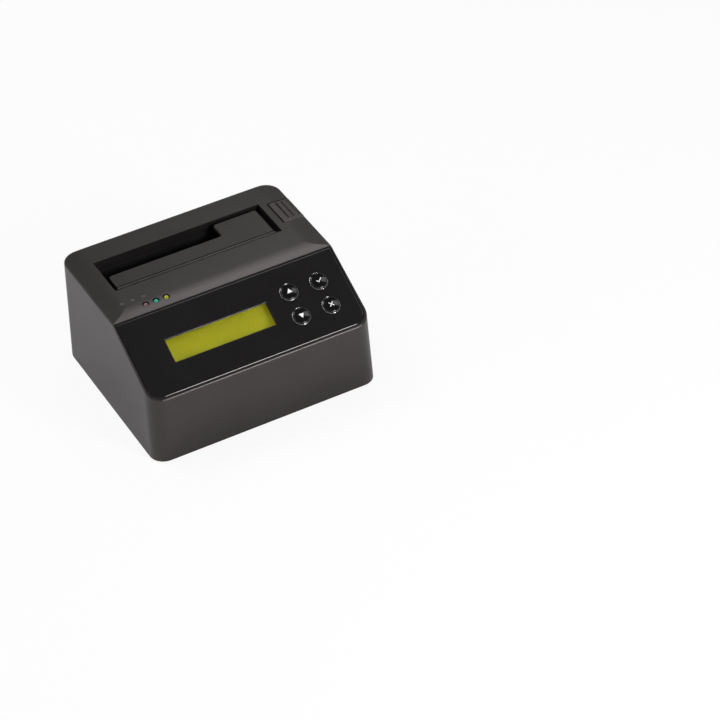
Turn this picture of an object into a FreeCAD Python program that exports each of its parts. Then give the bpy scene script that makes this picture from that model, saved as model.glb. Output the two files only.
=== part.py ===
import FreeCAD
import Part
import Sketcher
import os
import re

# Desktop hard drive eraser: a drafted two part housing with a sloped control panel,
# a drive slot with a sprung flap, an eject button with its lever, and the boards inside.
# Millimetres, X to the right, Y to the back, Z up, origin under the middle of the base.

doc = FreeCAD.newDocument("hard_drive_eraser")
sheet = doc.addObject("Spreadsheet::Sheet", "Sizes")

SIZES = [
    # Housing outside
    ("body_width", "140"),
    ("body_depth", "120"),
    ("foot_stand", "1.2"),
    ("rim_height", "68.2"),
    ("crown_rise", "0.8"),
    ("crown_round", "65"),
    ("wall_draft", "1.6"),
    ("corner_round", "9"),
    ("edge_round", "1"),
    ("wall", "2.2"),
    ("border_side", "10.6"),
    ("border_front", "6.1"),
    ("slope_rise", "25"),
    ("panel_tilt", "28.9"),
    # Control panel
    ("panel_rim", "1"),
    ("panel_low", "1.5"),
    ("panel_top_gap", "0.7"),
    ("panel_thick", "1.6"),
    ("panel_seat", "2"),
    ("panel_corner", "8"),
    ("panel_edge", "0.9"),
    ("panel_gap", "0.1"),
    # Display
    ("window_width", "62.4"),
    ("window_rise", "14.3"),
    ("lens_thick", "0.8"),
    ("bezel_side", "4.4"),
    ("bezel_above", "5.45"),
    ("bezel_lip", "1"),
    ("glass_thick", "1.6"),
    ("display_stand", "5.3"),
    ("lcd_side", "8.8"),
    ("lcd_above", "10.85"),
    ("lcd_hole_inset", "2.5"),
    ("board_thick", "1.6"),
    ("board_clear", "0.9"),
    # Keys
    ("key_pitch_x", "18.8"),
    ("key_pitch_s", "15.9"),
    ("key_radius", "4.9"),
    ("key_proud", "1.4"),
    ("key_crown", "0.4"),
    ("key_edge", "0.9"),
    ("key_clear", "0.35"),
    ("key_flange", "1.2"),
    ("key_flange_thick", "0.8"),
    ("switch_side", "6"),
    ("switch_rise", "3.4"),
    ("plunger_radius", "1.7"),
    ("plunger_rise", "0.9"),
    # Drive slot and flap
    ("slot_margin_left", "15.7"),
    ("slot_margin_right", "19.7"),
    ("slot_margin_rear", "18.3"),
    ("slot_depth", "29.1"),
    ("slot_break", "0.6"),
    ("skirt_wall", "2.5"),
    ("skirt_drop", "6"),
    ("flap_sink", "0.6"),
    ("flap_thick", "2"),
    ("flap_edge", "0.9"),
    ("flap_corner", "1.8"),
    ("flap_barrel", "1.2"),
    ("flap_pin_radius", "0.5"),
    ("flap_gap_left", "2.4"),
    ("flap_gap_right", "3.3"),
    ("flap_gap_front", "0.45"),
    ("flap_gap_rear", "2.8"),
    ("notch_depth", "13.8"),
    ("notch_width", "73.6"),
    # Drive well
    ("well_wall", "1.5"),
    ("drive_seat", "15.5"),
    ("floor_thick", "1.5"),
    # Status lights
    ("led_inset", "31.5"),
    ("led_setback", "6.4"),
    ("led_pitch", "6.3"),
    ("led_radius", "1.5"),
    ("led_hole", "2"),
    ("led_tall", "5"),
    ("led_stand", "2.2"),
    # Eject button and lever
    ("eject_reach", "15.7"),
    ("eject_setback", "12.8"),
    ("eject_length", "21"),
    ("eject_gap", "0.35"),
    ("eject_gap_left", "1"),
    ("eject_travel", "4"),
    ("eject_lip", "6.2"),
    ("groove_half", "0.45"),
    ("groove_break", "0.18"),
    ("stem_inset", "8.5"),
    ("stem_radius", "2"),
    ("spring_clear", "0.2"),
    ("lever_setback", "5.7"),
    ("lever_wide", "5"),
    ("lever_thick", "3"),
    ("lever_clear", "9.1"),
    ("pivot_inset", "4.3"),
    ("pivot_radius", "1"),
    ("shelf_drop", "20.2"),
    # Base, boards and ports
    ("plate_thick", "2.2"),
    ("plate_gap", "0.3"),
    ("vent_pitch", "7"),
    ("vent_wide", "2.4"),
    ("vent_long", "24"),
    ("boss_inset_side", "11"),
    ("boss_inset_rear", "13"),
    ("boss_inset_front", "8"),
    ("boss_radius", "3.5"),
    ("foot_inset_side", "24"),
    ("foot_inset_end", "12"),
    ("foot_radius", "5.5"),
    ("foot_sink", "0.8"),
    ("board_stand", "6"),
    ("board_inset_left", "16"),
    ("board_inset_right", "27"),
    ("board_inset_front", "24"),
    ("board_inset_rear", "7"),
    ("sata_inset", "28.8"),
    ("sata_setback", "4.3"),
    ("sata_length", "38.8"),
    ("sata_wide", "6.4"),
    ("sata_engage", "5"),
    ("jack_inset", "35"),
    ("jack_side", "9"),
    ("jack_axis", "6.5"),
    ("usb_pitch", "27"),
    ("usb_wide", "12"),
    ("usb_tall", "11.4"),
    ("usb_bevel", "2"),
    ("rocker_inset", "46"),
    ("rocker_z", "42"),
    ("rocker_half", "5"),
    ("rocker_throw", "8"),
    # Values worked out from the sizes above
    ("top_z", "=rim_height + crown_rise"),
    ("front_rise", "=rim_height - slope_rise"),
    ("draft_slope", "=tan(wall_draft * 1deg)"),
    ("rim_x", "=body_width / 2 - (rim_height - foot_stand) * draft_slope"),
    ("rim_y", "=body_depth / 2 - (rim_height - foot_stand) * draft_slope"),
    ("plateau_x", "=rim_x - border_side"),
    ("border_run", "=sqrt(border_side * border_side + crown_rise * crown_rise)"),
    ("crown_turn", "=crown_round * (border_run - border_side) / crown_rise"),
    ("tilt_cos", "=cos(panel_tilt * 1deg)"),
    ("tilt_sin", "=sin(panel_tilt * 1deg)"),
    ("front_y", "=(front_rise - foot_stand) * draft_slope - body_depth / 2"),
    ("panel_run", "=slope_rise / tilt_sin"),
    ("panel_top_y", "=front_y + panel_run * tilt_cos"),
    ("panel_half", "=rim_x - panel_rim"),
    ("panel_high", "=panel_run - panel_top_gap"),
    ("seat_back", "=-(panel_thick + panel_seat)"),
    ("bezel_width", "=window_width + 2 * bezel_side"),
    ("bezel_rise", "=window_rise + 2 * bezel_above"),
    ("lcd_board_width", "=window_width + 2 * lcd_side"),
    ("lcd_board_rise", "=window_rise + 2 * lcd_above"),
    ("keys_x", "=body_width * 0.2986"),
    ("keys_s", "=panel_run / 2 + 0.1"),
    ("key_board_left", "=keys_x - key_pitch_x / 2 - 5.4"),
    ("key_ball", "=(key_radius * key_radius + key_crown * key_crown) / (2 * key_crown)"),
    ("display_x", "=key_board_left - board_clear - lcd_board_width / 2"),
    ("display_s", "=panel_run / 2 - 0.1"),
    ("lcd_front", "=seat_back - display_stand"),
    ("lcd_back", "=lcd_front - board_thick"),
    ("glass_top", "=seat_back - bezel_lip"),
    ("inner_top", "=top_z - wall"),
    ("slot_left", "=slot_margin_left - body_width / 2"),
    ("slot_right", "=body_width / 2 - slot_margin_right"),
    ("slot_rear", "=body_depth / 2 - slot_margin_rear"),
    ("slot_front", "=slot_rear - slot_depth"),
    ("skirt_low", "=top_z - skirt_drop"),
    ("flap_top", "=top_z - flap_sink"),
    ("hinge_y", "=slot_front + flap_gap_front + flap_barrel"),
    ("hinge_z", "=flap_top - flap_barrel"),
    ("flap_left", "=slot_left + flap_gap_left"),
    ("flap_right", "=slot_right - flap_gap_right"),
    ("flap_rear", "=slot_rear - flap_gap_rear"),
    ("notch_right", "=slot_left + notch_width"),
    ("notch_front", "=slot_rear - notch_depth"),
    ("floor_low", "=drive_seat - floor_thick"),
    ("plate_top", "=foot_stand + plate_thick"),
    ("board_low", "=plate_top + board_stand"),
    ("board_top", "=board_low + board_thick"),
    ("board_left", "=board_inset_left - body_width / 2"),
    ("board_right", "=body_width / 2 - board_inset_right"),
    ("board_front", "=board_inset_front - body_depth / 2"),
    ("board_rear", "=body_depth / 2 - board_inset_rear"),
    ("boss_x", "=body_width / 2 - boss_inset_side"),
    ("boss_rear", "=body_depth / 2 - boss_inset_rear"),
    ("boss_front", "=boss_inset_front - body_depth / 2"),
    ("foot_x", "=body_width / 2 - foot_inset_side"),
    ("foot_y", "=body_depth / 2 - foot_inset_end"),
    ("led_x", "=led_inset - body_width / 2"),
    ("led_y", "=panel_top_y + led_setback"),
    ("led_low", "=top_z + 0.2 - led_tall"),
    ("led_board_top", "=led_low - led_stand"),
    ("eject_x", "=body_width / 2 - eject_reach"),
    ("eject_y", "=slot_rear - eject_setback"),
    ("eject_low", "=rim_height - eject_lip - eject_travel - eject_gap"),
    ("stem_x", "=body_width / 2 - stem_inset"),
    ("shelf_top", "=rim_height - shelf_drop"),
    ("sata_x", "=slot_left + sata_inset"),
    ("sata_y", "=slot_rear - sata_setback"),
    ("lever_y", "=slot_rear - lever_setback"),
    ("lever_tip", "=sata_x + sata_length / 2 + lever_clear"),
    ("lever_low", "=drive_seat - 0.5 - lever_thick"),
    ("lever_high", "=drive_seat - 0.5"),
    ("pivot_x", "=slot_right - pivot_inset"),
    ("pivot_z", "=lever_low + 1.2"),
    ("stem_low", "=lever_high + 0.3"),
    ("stem_collar", "=shelf_top + 8"),
    ("lug_back", "=lever_wide / 2 + 2.6"),
    ("jack_x", "=jack_inset - body_width / 2"),
    ("usb_x", "=jack_x + usb_pitch"),
    ("rocker_x", "=body_width / 2 - rocker_inset"),
    ("rocker_depth", "=-1.6"),
]

for row, (alias, text) in enumerate(SIZES, 1):
    sheet.set("A%d" % row, alias)
    sheet.set("B%d" % row, text)
    sheet.setAlias("B%d" % row, alias)
doc.recompute()

ALIASES = {alias for alias, text in SIZES}
NODES = []


def size(expression):
    """Present value of an expression in the aliases of the sheet."""
    result = sheet.evalExpression(expression)
    return float(getattr(result, "Value", result))


def bind(thing, field, expression):
    """Bind one field of an object to an expression in the aliases of the sheet."""
    def prefixed(match):
        word = match.group(0)
        return "Sizes." + word if word in ALIASES else word
    thing.setExpression(field, re.sub(r"[a-z_][a-z_0-9]*", prefixed, expression))


def place(thing, field, turn, base):
    """Set a placement turned about X and shifted, and bind each of its values."""
    offset = FreeCAD.Vector(*[size(value) for value in base])
    about_x = FreeCAD.Rotation(FreeCAD.Vector(1, 0, 0), size(turn))
    setattr(thing, field, FreeCAD.Placement(offset, about_x))
    for axis, value in zip("xyz", base):
        bind(thing, "%s.Base.%s" % (field, axis), value)
    if turn != "0":
        bind(thing, "%s.Rotation.Angle" % field, turn)


def new_body(name, node=True, turn="0", base=("0", "0", "0")):
    """A body whose own frame is turned about X and shifted."""
    body = doc.addObject("PartDesign::Body", name)
    body.Label = name
    body.AllowCompound = True
    place(body, "Placement", turn, base)
    if node:
        NODES.append(body)
    return body


def panel_body(name, node=True):
    """A body in the panel frame: X across, Y up the slope, Z out of the panel face."""
    return new_body(name, node, "panel_tilt", ("0", "front_y", "front_rise"))


def rect(x0, y0, x1, y1):
    return [(x0, y0), (x1, y0), (x1, y1), (x0, y1)]


def box_at(x, y, half_x, half_y):
    """Corners of a rectangle about a centre."""
    return rect("%s - (%s)" % (x, half_x), "%s - (%s)" % (y, half_y),
                "%s + (%s)" % (x, half_x), "%s + (%s)" % (y, half_y))


def bevelled(x, y, half_x, half_y, bevel):
    """Corners of a rectangle about a centre with its two upper corners cut off."""
    left, right = "%s - (%s)" % (x, half_x), "%s + (%s)" % (x, half_x)
    low, high = "%s - (%s)" % (y, half_y), "%s + (%s)" % (y, half_y)
    shoulder = "%s - (%s)" % (high, bevel)
    return [(left, low), (right, low), (right, shoulder), ("%s - (%s)" % (right, bevel), high),
            ("%s + (%s)" % (left, bevel), high), (left, shoulder)]


def cross_at(x, y, reach, half):
    """Corners of a plus sign about a centre."""
    far_low, near_low = "-(%s)" % reach, "-(%s)" % half
    across = [reach, reach, half, half, near_low, near_low, far_low, far_low, near_low, near_low, half, half]
    along = across[-3:] + across[:-3]
    return [("%s + (%s)" % (x, a), "%s + (%s)" % (y, b)) for a, b in zip(across, along)]


def side(outline, corners, i):
    """One side of an outline: straight, or bulging outwards where its first corner names a radius."""
    start, end = corners[i], corners[(i + 1) % len(corners)]
    if len(outline[i]) == 2:
        return Part.LineSegment(start, end)
    radius, chord = size(outline[i][2]), end - start
    rise = radius - (radius ** 2 - chord.Length ** 2 / 4) ** 0.5
    outwards = FreeCAD.Vector(chord.y, -chord.x, 0) * (1 / chord.Length)
    return Part.Arc(start, (start + end) * 0.5 + outwards * rise, end)


def draw(sketch, outlines):
    """Draw closed outlines, each a list of corners or a (x, y, radius) circle, fully bound."""
    for outline in outlines:
        first = sketch.GeometryCount
        if isinstance(outline, tuple):
            centre = FreeCAD.Vector(size(outline[0]), size(outline[1]), 0)
            sketch.addGeometry(Part.Circle(centre, FreeCAD.Vector(0, 0, 1), size(outline[2])), False)
            pins = [("DistanceX", first, 3, centre.x, outline[0]),
                    ("DistanceY", first, 3, centre.y, outline[1])]
            index = sketch.addConstraint(Sketcher.Constraint("Radius", first, size(outline[2])))
            sketch.renameConstraint(index, "radius%d" % first)
            bind(sketch, "Constraints.radius%d" % first, outline[2])
        else:
            corners = [FreeCAD.Vector(size(corner[0]), size(corner[1]), 0) for corner in outline]
            count = len(corners)
            for i in range(count):
                sketch.addGeometry(side(outline, corners, i), False)
            sketch.addConstraint([Sketcher.Constraint("Coincident", first + i, 2, first + (i + 1) % count, 1)
                                  for i in range(count)])
            pins = []
            for i, corner in enumerate(outline):
                pins.append(("DistanceX", first + i, 1, corners[i].x, corner[0]))
                pins.append(("DistanceY", first + i, 1, corners[i].y, corner[1]))
                if len(corner) == 3:
                    index = sketch.addConstraint(Sketcher.Constraint("Radius", first + i, size(corner[2])))
                    sketch.renameConstraint(index, "radius%d" % (first + i))
                    bind(sketch, "Constraints.radius%d" % (first + i), corner[2])
        for kind, item, point, value, expression in pins:
            index = sketch.addConstraint(Sketcher.Constraint(kind, -1, 1, item, point, value))
            name = "%s%d" % (kind, item)
            sketch.renameConstraint(index, name)
            bind(sketch, "Constraints." + name, expression)


def sketch_in(body, plane, outlines, level, tilted):
    """A sketch on an origin plane of the body, at a level along the world axis it faces."""
    sketch = body.newObject("Sketcher::SketchObject", "Outline")
    planes = [item for item in body.Origin.OriginFeatures if item.Role == plane]
    sketch.AttachmentSupport = [(planes[0], "")]
    sketch.MapMode = "FlatFace"
    if tilted:
        place(sketch, "AttachmentOffset", "panel_tilt",
              ("0", "front_y - (%s) * tilt_sin" % level, "front_rise + (%s) * tilt_cos" % level))
    elif plane == "XZ_Plane":
        place(sketch, "AttachmentOffset", "0", ("0", "0", "-(%s)" % level))
    else:
        place(sketch, "AttachmentOffset", "0", ("0", "0", level))
    draw(sketch, outlines)
    return sketch


def add(body, outlines, low, high, plane="XY_Plane", tilted=False, taper="0"):
    """Pad outlines between two levels along the axis that the plane faces."""
    sketch = sketch_in(body, plane, outlines, high if plane == "XZ_Plane" else low, tilted)
    pad = body.newObject("PartDesign::Pad", "Pad")
    pad.Profile = sketch
    bind(pad, "Length", "%s - (%s)" % (high, low))
    if taper != "0":
        bind(pad, "TaperAngle", taper)
    doc.recompute()
    return pad


def cut(body, outlines, low, high, plane="XY_Plane", tilted=False):
    """Pocket outlines between two levels; a pocket that removes nothing is an error."""
    before = body.Shape.Volume
    sketch = sketch_in(body, plane, outlines, low if plane == "XZ_Plane" else high, tilted)
    pocket = body.newObject("PartDesign::Pocket", "Pocket")
    pocket.Profile = sketch
    bind(pocket, "Length", "%s - (%s)" % (high, low))
    doc.recompute()
    if body.Shape.Volume > before - 0.001:
        raise RuntimeError("pocket cut nothing in " + body.Label)
    return pocket


def soften(body, amount, wanted, kind="Fillet"):
    """Round or chamfer the edges that the test picks, in the body's own frame."""
    tip = body.Tip
    shape = tip.Shape
    names = ["Edge%d" % (i + 1) for i, edge in enumerate(shape.Edges) if wanted(shape, edge)]
    if not names:
        raise RuntimeError("no edge to soften in " + body.Label)
    softened = body.newObject("PartDesign::" + kind, kind)
    softened.Base = (tip, names)
    bind(softened, "Radius" if kind == "Fillet" else "Size", amount)
    doc.recompute()
    if softened.Shape.isNull() or not softened.Shape.isValid() or "Invalid" in softened.State:
        raise RuntimeError("edges not softened in " + body.Label)
    return softened


def combine(body, tool, kind):
    """Cut a tool body, drawn in the body's own frame, out of a body, or keep only what the two share."""
    before = body.Shape.Volume
    boolean = body.newObject("PartDesign::Boolean", kind)
    boolean.Type = kind
    boolean.setObjects([tool])
    doc.recompute()
    if body.Shape.Volume > before - 0.001 or body.Shape.Volume <= 0:
        raise RuntimeError("nothing taken from " + body.Label)


def middle(edge):
    return edge.valueAt((edge.FirstParameter + edge.LastParameter) / 2)


def near(a, b, slack=0.02):
    return abs(a - b) < slack


def upright(shape, edge):
    """Edges that rise along Z."""
    box = edge.BoundBox
    return box.ZLength > 5 * max(box.XLength, box.YLength, 0.001)


def flat_at(level):
    """Test for edges lying wholly at one height."""
    def test(shape, edge):
        box = edge.BoundBox
        return box.ZLength < 0.001 and near(box.ZMin, size(level))
    return test


def low_corner(level):
    """Test for upright edges at one Y, such as the two lower corners of the panel."""
    def test(shape, edge):
        return upright(shape, edge) and near(middle(edge).y, size(level))
    return test


def level_outline(level):
    """Test for the outer edges of the level face at one height."""
    def test(shape, edge):
        if not flat_at(level)(shape, edge):
            return False
        tops = [face for face in shape.ancestorsOfType(edge, Part.Face) if face.BoundBox.ZLength < 0.001]
        return any(item.isSame(edge) for face in tops for item in face.OuterWire.Edges)
    return test


def facing(face, point):
    u, v = face.Surface.parameter(point)
    return face.normalAt(u, v)


def outer_rim(shape, edge):
    """Edges where a standing wall meets the sloped or level top."""
    faces = shape.ancestorsOfType(edge, Part.Face)
    if len(faces) != 2 or middle(edge).z < size("front_rise") - 1:
        return False
    rises = sorted(facing(face, middle(edge)).z for face in faces)
    return rises[0] < 0.3 and rises[1] > 0.5


# Upper housing: drafted block, sloped front, crowned top with mitred borders, hollowed out
upper_housing = new_body("upper_housing")
add(upper_housing, [box_at("0", "0", "body_width / 2", "body_depth / 2")],
    "foot_stand", "top_z", taper="-wall_draft")
soften(upper_housing, "corner_round", upright)
cut(upper_housing, [
    [("front_y - 30 * tilt_cos", "front_rise - 30 * tilt_sin"), ("panel_top_y", "rim_height"),
     ("panel_top_y + border_front", "top_z"), ("panel_top_y + border_front", "top_z + 30"),
     ("front_y - 30 * tilt_cos", "top_z + 30")],
], "-body_width", "body_width", "YZ_Plane")


def front_crease(shape, edge):
    """The long edge where the front border meets the plateau."""
    return flat_at("top_z")(shape, edge) and near(middle(edge).y, size("panel_top_y + border_front"))


def crown(name):
    """A bar along Y whose upper side is the plateau with its two side borders, softly blended."""
    body = new_body(name, node=False)
    half, low = "rim_x + border_side", "top_z - 2 * crown_rise"
    blend_in = "plateau_x - crown_turn"
    blend_out = "plateau_x + crown_turn * border_side / border_run"
    blend_low = "top_z - crown_turn * crown_rise / border_run"
    add(body, [[(half, "-10"), (half, low), (blend_out, blend_low, "crown_round"), (blend_in, "top_z"),
                ("-(%s)" % blend_in, "top_z", "crown_round"), ("-(%s)" % blend_out, blend_low),
                ("-(%s)" % half, low), ("-(%s)" % half, "-10")]], "-body_depth", "body_depth", "XZ_Plane")
    return body


soften(upper_housing, "crown_round", front_crease)
combine(upper_housing, crown("housing_crown"), "Common")
soften(upper_housing, "edge_round", outer_rim)

housing_core = new_body("housing_core", node=False)
CORE_HALF = ("body_width / 2 - wall + draft_slope", "body_depth / 2 - wall + draft_slope")
add(housing_core, [box_at("0", "0", CORE_HALF[0], CORE_HALF[1])],
    "foot_stand - 1", "inner_top", taper="-wall_draft")
soften(housing_core, "corner_round - wall", upright)
cut(housing_core, [[
    ("front_y - seat_back * tilt_sin - 30 * tilt_cos", "front_rise + seat_back * tilt_cos - 30 * tilt_sin"),
    ("front_y - seat_back * tilt_sin + 90 * tilt_cos", "front_rise + seat_back * tilt_cos + 90 * tilt_sin"),
    ("front_y - 30 * tilt_cos", "front_rise + 150"),
]], "-body_width", "body_width", "YZ_Plane")
combine(upper_housing, housing_core, "Cut")

# Posts, skirt and shelf inside the upper housing
BOSSES = [(x, y) for y in ("boss_rear", "boss_front") for x in ("boss_x", "-boss_x")]
add(upper_housing, [(x, y, "boss_radius") for x, y in BOSSES[:2]], "plate_top", "inner_top + 0.4")
BOSS_FRONT_TOP = ("front_rise + seat_back * tilt_cos + 0.1"
                  " + (boss_front - front_y + seat_back * tilt_sin) * tilt_sin / tilt_cos")
add(upper_housing, [(x, y, "boss_radius") for x, y in BOSSES[2:]], "plate_top", BOSS_FRONT_TOP)
cut(upper_housing, [(x, y, "1.45") for x, y in BOSSES], "plate_top - 1", "plate_top + 14")
add(upper_housing, [rect("slot_left - skirt_wall", "slot_front - skirt_wall",
                         "slot_right + skirt_wall", "slot_rear + skirt_wall")],
    "skirt_low", "inner_top + 0.4")
SHELF_WALL = "body_width / 2 - (shelf_top - foot_stand) * draft_slope - wall / 2"
add(upper_housing, [rect("stem_x - 5.5", "lever_y - 5", SHELF_WALL, "lever_y + 5")],
    "shelf_top - 3", "shelf_top")
cut(upper_housing, [("stem_x", "lever_y", "stem_radius + 0.1")], "shelf_top - 4", "shelf_top + 1")
LED_POSTS = [("led_x - led_pitch - 5.4", "led_y", "1.7"), ("led_x + led_pitch + 5.4", "led_y", "1.7")]
add(upper_housing, LED_POSTS, "led_board_top", "inner_top + 0.4")

# Openings of the upper housing
cut(upper_housing, [rect("slot_left", "slot_front", "slot_right", "slot_rear")], "skirt_low - 1", "top_z + 1")


def slot_sill(shape, edge):
    """The upper front edge of the slot, along the flap's hinge."""
    return flat_at("top_z")(shape, edge) and near(middle(edge).y, size("slot_front")) and edge.Length > 20


soften(upper_housing, "slot_break", slot_sill, "Chamfer")
cut(upper_housing, [("hinge_y", "hinge_z", "flap_pin_radius + 0.02")],
    "slot_left - skirt_wall - 1", "slot_right + skirt_wall + 1", "YZ_Plane")
LED_SPOTS = ["led_x - led_pitch", "led_x", "led_x + led_pitch"]
cut(upper_housing, [(spot, "led_y", "led_hole") for spot in LED_SPOTS], "inner_top - 1", "top_z + 1")
cut(upper_housing, [rect("eject_x", "eject_y - eject_length / 2", "body_width / 2 + 1",
                         "eject_y + eject_length / 2")], "eject_low", "top_z + 1")
cut(upper_housing, [
    ("jack_x", "board_top + jack_axis", "4.3"),
    bevelled("usb_x", "board_top + usb_tall / 2", "usb_wide / 2 + 0.3", "usb_tall / 2 + 0.3", "usb_bevel"),
    box_at("rocker_x", "foot_stand + rocker_z", "4.5", "rocker_half + 2"),
], "rim_y - 5", "body_depth / 2 + 1", "XZ_Plane")

# Seat of the control panel with its openings and board posts
panel_recess = panel_body("panel_recess", node=False)
add(panel_recess, [rect("-panel_half", "panel_low", "panel_half", "panel_high")], "-panel_thick", "6")
soften(panel_recess, "panel_corner", low_corner("panel_low"))
combine(upper_housing, panel_recess, "Cut")
KEY_SPOTS = {
    "up": ("keys_x - key_pitch_x / 2", "keys_s + key_pitch_s / 2"),
    "down": ("keys_x - key_pitch_x / 2", "keys_s - key_pitch_s / 2"),
    "accept": ("keys_x + key_pitch_x / 2", "keys_s + key_pitch_s / 2"),
    "back": ("keys_x + key_pitch_x / 2", "keys_s - key_pitch_s / 2"),
}
cut(upper_housing, [box_at("display_x", "display_s", "window_width / 2 + 2", "window_rise / 2 + 2")]
    + [(x, y, "key_radius + key_flange + 0.6") for x, y in KEY_SPOTS.values()],
    "seat_back - 1", "0.5 - panel_thick", tilted=True)
LCD_HOLES = [("display_x %s (lcd_board_width / 2 - lcd_hole_inset)" % a,
              "display_s %s (lcd_board_rise / 2 - lcd_hole_inset)" % b) for a in "-+" for b in "-+"]
KEY_HOLES = [("keys_x", "keys_s - key_pitch_s / 2 - 6.5"), ("keys_x", "keys_s + key_pitch_s / 2 + 6.5")]
PANEL_HOLES = LCD_HOLES + KEY_HOLES
add(upper_housing, [(x, y, "1.7") for x, y in PANEL_HOLES], "lcd_front", "seat_back + 0.5", tilted=True)
cut(upper_housing, [(x, y, "0.85") for x, y in PANEL_HOLES], "lcd_front - 1", "lcd_front + 4", tilted=True)

# Base plate with its posts, feet and screws
FEET = [(a + "foot_x", b + "foot_y") for a in ("", "-") for b in ("", "-")]
BOARD_HOLES = [("board_left + 5", "board_front + 5"), ("board_right - 5", "board_front + 5"),
               ("board_left + 5", "board_rear - 5"), ("board_right - 5", "board_rear - 5")]
WELL_POSTS = [("slot_left + 4.6", "slot_front + 4"), ("slot_left + 4.6", "slot_front + 16"),
              ("board_right - 7", "slot_front + 4"), ("board_right - 7", "slot_front + 15")]
base_plate = new_body("base_plate")
PLATE_HALF = ("body_width / 2 - wall - plate_gap", "body_depth / 2 - wall - plate_gap")
add(base_plate, [box_at("0", "0", PLATE_HALF[0], PLATE_HALF[1])], "foot_stand", "plate_top")
soften(base_plate, "corner_round - wall - plate_gap", upright)
add(base_plate, [(x, y, "3") for x, y in BOARD_HOLES], "plate_top - 0.2", "board_low")
add(base_plate, [(x, y, "3") for x, y in WELL_POSTS], "plate_top - 0.2", "floor_low")
cut(base_plate, [(x, y, "1.1") for x, y in BOARD_HOLES], "plate_top - 0.5", "board_low + 1")
cut(base_plate, [(x, y, "foot_radius + 0.1") for x, y in FEET], "foot_stand - 1", "foot_stand + foot_sink")
cut(base_plate, [(x, y, "3.1") for x, y in BOSSES], "foot_stand - 1", "foot_stand + 1.2")
cut(base_plate, [(x, y, "1.7") for x, y in BOSSES], "foot_stand", "plate_top + 1")
VENTS = ["vent_pitch * %d" % i for i in range(-3, 4)]
cut(base_plate, [box_at(x, "board_front + 22", "vent_wide / 2", "vent_long / 2") for x in VENTS],
    "foot_stand - 1", "plate_top + 1")

rubber_feet = new_body("rubber_feet")
add(rubber_feet, [(x, y, "foot_radius") for x, y in FEET], "0", "foot_stand + foot_sink")
soften(rubber_feet, "0.5", flat_at("0"), "Chamfer")


def screws(name, spots, head_low, head_high, shank_end, head="2.7", shank="1.4", make=new_body):
    """A set of round headed screws with a cross recess standing along the frame's Z."""
    body = make(name)
    add(body, [(x, y, head) for x, y in spots], head_low, head_high)
    points_up = size(shank_end) > size(head_high)
    if points_up:
        add(body, [(x, y, shank) for x, y in spots], head_high, shank_end)
        recess = (head_low, "%s + 0.6" % head_low)
    else:
        add(body, [(x, y, shank) for x, y in spots], shank_end, head_low)
        recess = ("%s - 0.6" % head_high, head_high)
    cut(body, [cross_at(x, y, "%s * 0.6" % head, "0.3") for x, y in spots], recess[0], recess[1])
    return body


screws("base_screws", BOSSES, "foot_stand + 0.1", "foot_stand + 1.2", "plate_top + 9")
screws("board_screws", BOARD_HOLES, "board_top", "board_top + 1.4", "board_low - 4.5", "2.6", "1.05")
screws("display_screws", PANEL_HOLES, "lcd_back - 1.2", "lcd_back", "lcd_front + 3.5", "1.9", "0.8",
       panel_body)

# Control panel plate and display window
control_panel = panel_body("control_panel")
add(control_panel, [rect("panel_gap - panel_half", "panel_low + panel_gap",
                         "panel_half - panel_gap", "panel_high - panel_gap")], "-panel_thick", "0")
soften(control_panel, "panel_corner - panel_gap", low_corner("panel_low + panel_gap"))
cut(control_panel, [box_at("display_x", "display_s", "window_width / 2", "window_rise / 2")]
    + [(x, y, "key_radius + key_clear") for x, y in KEY_SPOTS.values()], "-panel_thick - 1", "1")
soften(control_panel, "panel_edge", level_outline("0"))
soften(control_panel, "0.25", flat_at("0"))
display_window = panel_body("display_window")
add(display_window, [box_at("display_x", "display_s", "window_width / 2", "window_rise / 2")],
    "-panel_thick", "lens_thick - panel_thick")

# Display module
lcd_bezel = panel_body("lcd_bezel")
add(lcd_bezel, [box_at("display_x", "display_s", "bezel_width / 2", "bezel_rise / 2")],
    "lcd_front", "seat_back")
cut(lcd_bezel, [box_at("display_x", "display_s", "bezel_width / 2 - 1", "bezel_rise / 2 - 1")],
    "lcd_front - 1", "glass_top")
cut(lcd_bezel, [box_at("display_x", "display_s", "window_width / 2 + 1.5", "window_rise / 2 + 1.5")],
    "glass_top - 1", "seat_back + 1")
lcd_glass = panel_body("lcd_glass")
add(lcd_glass, [box_at("display_x", "display_s", "bezel_width / 2 - 1.2", "bezel_rise / 2 - 1.2")],
    "glass_top - glass_thick", "glass_top")
lcd_backlight = panel_body("lcd_backlight")
add(lcd_backlight, [box_at("display_x", "display_s", "bezel_width / 2 - 1.2", "bezel_rise / 2 - 1.2")],
    "lcd_front", "glass_top - glass_thick")
lcd_board = panel_body("lcd_board")
add(lcd_board, [box_at("display_x", "display_s", "lcd_board_width / 2", "lcd_board_rise / 2")],
    "lcd_back", "lcd_front")
cut(lcd_board, [(x, y, "1.1") for x, y in LCD_HOLES], "lcd_back - 1", "lcd_front + 1")
add(lcd_board, [("display_x - 12", "display_s", "5"), ("display_x + 14", "display_s", "5")],
    "lcd_back - 1.2", "lcd_back")

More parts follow.
